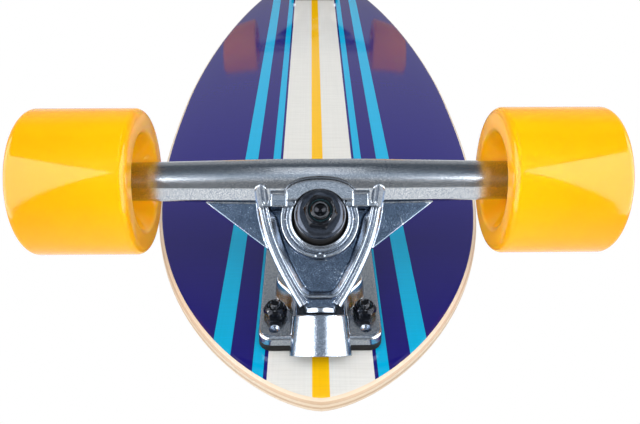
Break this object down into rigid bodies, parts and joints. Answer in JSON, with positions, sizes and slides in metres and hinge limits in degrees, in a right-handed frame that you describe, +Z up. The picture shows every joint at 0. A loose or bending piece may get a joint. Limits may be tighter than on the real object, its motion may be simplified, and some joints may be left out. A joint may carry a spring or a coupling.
{
  "type": "cruiser skateboard",
  "caption": "Pintail cruiser skateboard: laminated wooden deck on two sprung steering trucks with soft round-lipped urethane wheels.",
  "frame": {"origin": "on the ground under the middle of the deck, between the wheels", "axes": "+Z up, -Y towards the rounded nose, +Y towards the drawn-out tail, X across the board along the axles"},
  "size_m": [0.253, 0.73, 0.1098],
  "materials": {
    "maple_ply": "clear lacquered maple plywood",
    "grip_grit": "black abrasive grit",
    "black_rubber": "matt moulded",
    "tumbled_aluminium": "tumbled casting with polished edges",
    "black_urethane": "satin cast urethane",
    "bright_steel": "bright",
    "black_oxide_steel": "black oxide",
    "yellow_urethane": "glossy cast urethane"
  },
  "bodies": {
    "board": {"deck": "maple_ply", "grip_tape": "grip_grit", "front_riser_pad": "black_rubber", "front_baseplate": "tumbled_aluminium", "front_pivot_cup": "black_urethane", "front_kingpin": "black_oxide_steel", "front_bushing_boardside": "black_urethane", "front_bushing_roadside": "black_urethane", "front_washer_boardside": "black_oxide_steel", "front_washer_roadside": "black_oxide_steel", "front_kingpin_nut": "black_oxide_steel", "front_bolt_left_inner": "black_oxide_steel", "front_bolt_nut_left_inner": "black_oxide_steel", "front_bolt_left_outer": "black_oxide_steel", "front_bolt_nut_left_outer": "black_oxide_steel", "front_bolt_right_inner": "black_oxide_steel", "front_bolt_nut_right_inner": "black_oxide_steel", "front_bolt_right_outer": "black_oxide_steel", "front_bolt_nut_right_outer": "black_oxide_steel", "rear_riser_pad": "black_rubber", "rear_baseplate": "tumbled_aluminium", "rear_pivot_cup": "black_urethane", "rear_kingpin": "black_oxide_steel", "rear_bushing_boardside": "black_urethane", "rear_bushing_roadside": "black_urethane", "rear_washer_boardside": "black_oxide_steel", "rear_washer_roadside": "black_oxide_steel", "rear_kingpin_nut": "black_oxide_steel", "rear_bolt_left_inner": "black_oxide_steel", "rear_bolt_nut_left_inner": "black_oxide_steel", "rear_bolt_left_outer": "black_oxide_steel", "rear_bolt_nut_left_outer": "black_oxide_steel", "rear_bolt_right_inner": "black_oxide_steel", "rear_bolt_nut_right_inner": "black_oxide_steel", "rear_bolt_right_outer": "black_oxide_steel", "rear_bolt_nut_right_outer": "black_oxide_steel"},
    "front_left_wheel": {"front_wheel_left": "yellow_urethane", "front_bearing_left_inner": "bright_steel", "front_bearing_left_outer": "bright_steel"},
    "front_right_wheel": {"front_wheel_right": "yellow_urethane", "front_bearing_right_inner": "bright_steel", "front_bearing_right_outer": "bright_steel"},
    "front_hanger_assembly": {"front_hanger": "tumbled_aluminium", "front_axle": "bright_steel", "front_axle_stack_left": "bright_steel", "front_axle_nut_left": "black_oxide_steel", "front_axle_stack_right": "bright_steel", "front_axle_nut_right": "black_oxide_steel"},
    "rear_left_wheel": {"rear_wheel_left": "yellow_urethane", "rear_bearing_left_inner": "bright_steel", "rear_bearing_left_outer": "bright_steel"},
    "rear_right_wheel": {"rear_wheel_right": "yellow_urethane", "rear_bearing_right_inner": "bright_steel", "rear_bearing_right_outer": "bright_steel"},
    "rear_hanger_assembly": {"rear_hanger": "tumbled_aluminium", "rear_axle": "bright_steel", "rear_axle_stack_left": "bright_steel", "rear_axle_nut_left": "black_oxide_steel", "rear_axle_stack_right": "bright_steel", "rear_axle_nut_right": "black_oxide_steel"}
  },
  "joints": [
    {"name": "front_steer", "type": "hinge", "parent": "board", "child": "front_hanger_assembly", "pos_m": [0, -0.30394, 0.04862], "axis": [0, 0.7071, -0.7071], "range_deg": [-15, 15], "stiffness_Nm_per_rad": 60, "deforming": ["front_bushing_boardside", "front_bushing_roadside"]},
    {"name": "front_left_wheel_spin", "type": "hinge", "parent": "front_hanger_assembly", "child": "front_left_wheel", "pos_m": [0.102, -0.2956, 0.0325], "axis": [1, 0, 0], "continuous": true},
    {"name": "front_right_wheel_spin", "type": "hinge", "parent": "front_hanger_assembly", "child": "front_right_wheel", "pos_m": [-0.102, -0.2956, 0.0325], "axis": [1, 0, 0], "continuous": true},
    {"name": "rear_steer", "type": "hinge", "parent": "board", "child": "rear_hanger_assembly", "pos_m": [0, 0.26974, 0.04862], "axis": [0, -0.7071, -0.7071], "range_deg": [-15, 15], "stiffness_Nm_per_rad": 60, "deforming": ["rear_bushing_boardside", "rear_bushing_roadside"]},
    {"name": "rear_left_wheel_spin", "type": "hinge", "parent": "rear_hanger_assembly", "child": "rear_left_wheel", "pos_m": [0.102, 0.2614, 0.0325], "axis": [1, 0, 0], "continuous": true},
    {"name": "rear_right_wheel_spin", "type": "hinge", "parent": "rear_hanger_assembly", "child": "rear_right_wheel", "pos_m": [-0.102, 0.2614, 0.0325], "axis": [1, 0, 0], "continuous": true}
  ]
}
